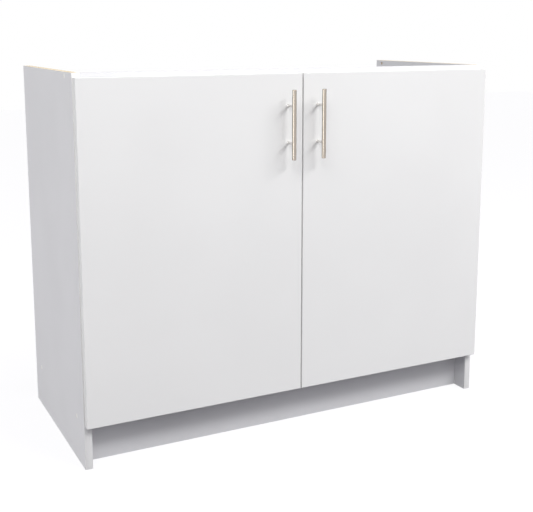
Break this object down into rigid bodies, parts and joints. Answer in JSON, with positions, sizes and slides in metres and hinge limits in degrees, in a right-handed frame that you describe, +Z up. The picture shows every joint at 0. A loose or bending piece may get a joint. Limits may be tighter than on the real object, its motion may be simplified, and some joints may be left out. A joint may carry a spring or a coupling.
{
  "type": "sink base cabinet",
  "caption": "Floor-standing kitchen sink base unit with an open top and back, a recessed plinth and a pair of slab doors on concealed cup hinges, each with a bar handle.",
  "frame": {"origin": "on the floor, below the middle of the bounding box (the depth includes the doors and their handles)", "axes": "+X towards the right-hand side panel seen from the front, +Y towards the wall behind the cabinet, +Z up"},
  "size_m": [1, 0.4824, 0.82],
  "materials": {
    "white_board": "white melamine-faced chipboard, fine satin texture",
    "white_door": "smooth white foil, satin",
    "satin_nickel": "satin nickel, fine brushing along the bar",
    "plated_steel": "bright nickel plating",
    "white_plastic": "moulded, low sheen",
    "clear_plastic": "clear soft plastic, glossy"
  },
  "bodies": {
    "carcass": {"base_panel": "white_board", "base_screw_left_front": "plated_steel", "base_screw_left_rear": "plated_steel", "base_screw_right_front": "plated_steel", "base_screw_right_rear": "plated_steel", "cover_cap_left_front": "white_plastic", "cover_cap_left_rear": "white_plastic", "cover_cap_left_top": "white_plastic", "cover_cap_right_front": "white_plastic", "cover_cap_right_rear": "white_plastic", "cover_cap_right_top": "white_plastic", "front_rail_cam_left": "plated_steel", "front_rail_cam_right": "plated_steel", "front_top_rail": "white_board", "left_lower_hinge_arm": "plated_steel", "left_lower_hinge_plate": "plated_steel", "left_side_panel": "white_board", "left_upper_hinge_arm": "plated_steel", "left_upper_hinge_plate": "plated_steel", "plinth_board": "white_board", "plinth_corner_block_left": "white_plastic", "plinth_corner_block_right": "white_plastic", "rear_lower_rail": "white_board", "rear_rail_cam_left": "plated_steel", "rear_rail_cam_right": "plated_steel", "right_lower_hinge_arm": "plated_steel", "right_lower_hinge_plate": "plated_steel", "right_side_panel": "white_board", "right_upper_hinge_arm": "plated_steel", "right_upper_hinge_plate": "plated_steel"},
    "left_hinge_links": {"left_lower_hinge_link": "plated_steel", "left_upper_hinge_link": "plated_steel"},
    "left_door_set": {"left_door": "white_door", "left_handle_bar": "satin_nickel", "left_handle_lower_post": "satin_nickel", "left_handle_lower_screw": "plated_steel", "left_handle_upper_post": "satin_nickel", "left_handle_upper_screw": "plated_steel", "left_lower_bumper": "clear_plastic", "left_lower_hinge_cup": "plated_steel", "left_upper_bumper": "clear_plastic", "left_upper_hinge_cup": "plated_steel"},
    "right_hinge_links": {"right_lower_hinge_link": "plated_steel", "right_upper_hinge_link": "plated_steel"},
    "right_door_set": {"right_door": "white_door", "right_handle_bar": "satin_nickel", "right_handle_lower_post": "satin_nickel", "right_handle_lower_screw": "plated_steel", "right_handle_upper_post": "satin_nickel", "right_handle_upper_screw": "plated_steel", "right_lower_bumper": "clear_plastic", "right_lower_hinge_cup": "plated_steel", "right_upper_bumper": "clear_plastic", "right_upper_hinge_cup": "plated_steel"}
  },
  "joints": [
    {"name": "left_links_swing", "type": "hinge", "parent": "carcass", "child": "left_hinge_links", "pos_m": [-0.4598, -0.18745, 0], "axis": [0, 0, 1], "range_deg": [0, 26.05]},
    {"name": "left_door_swing", "type": "hinge", "parent": "left_hinge_links", "child": "left_door_set", "pos_m": [-0.4877, -0.19905, 0], "axis": [0, 0, -1], "range_deg": [0, 126]},
    {"name": "right_links_swing", "type": "hinge", "parent": "carcass", "child": "right_hinge_links", "pos_m": [0.4598, -0.18745, 0], "axis": [0, 0, -1], "range_deg": [0, 26.05]},
    {"name": "right_door_swing", "type": "hinge", "parent": "right_hinge_links", "child": "right_door_set", "pos_m": [0.4877, -0.19905, 0], "axis": [0, 0, 1], "range_deg": [0, 126]}
  ],
  "couplings": [
    {"joint": "left_links_swing", "follows": "left_door_swing", "ratio": 0.20635},
    {"joint": "right_links_swing", "follows": "right_door_swing", "ratio": 0.20635}
  ]
}
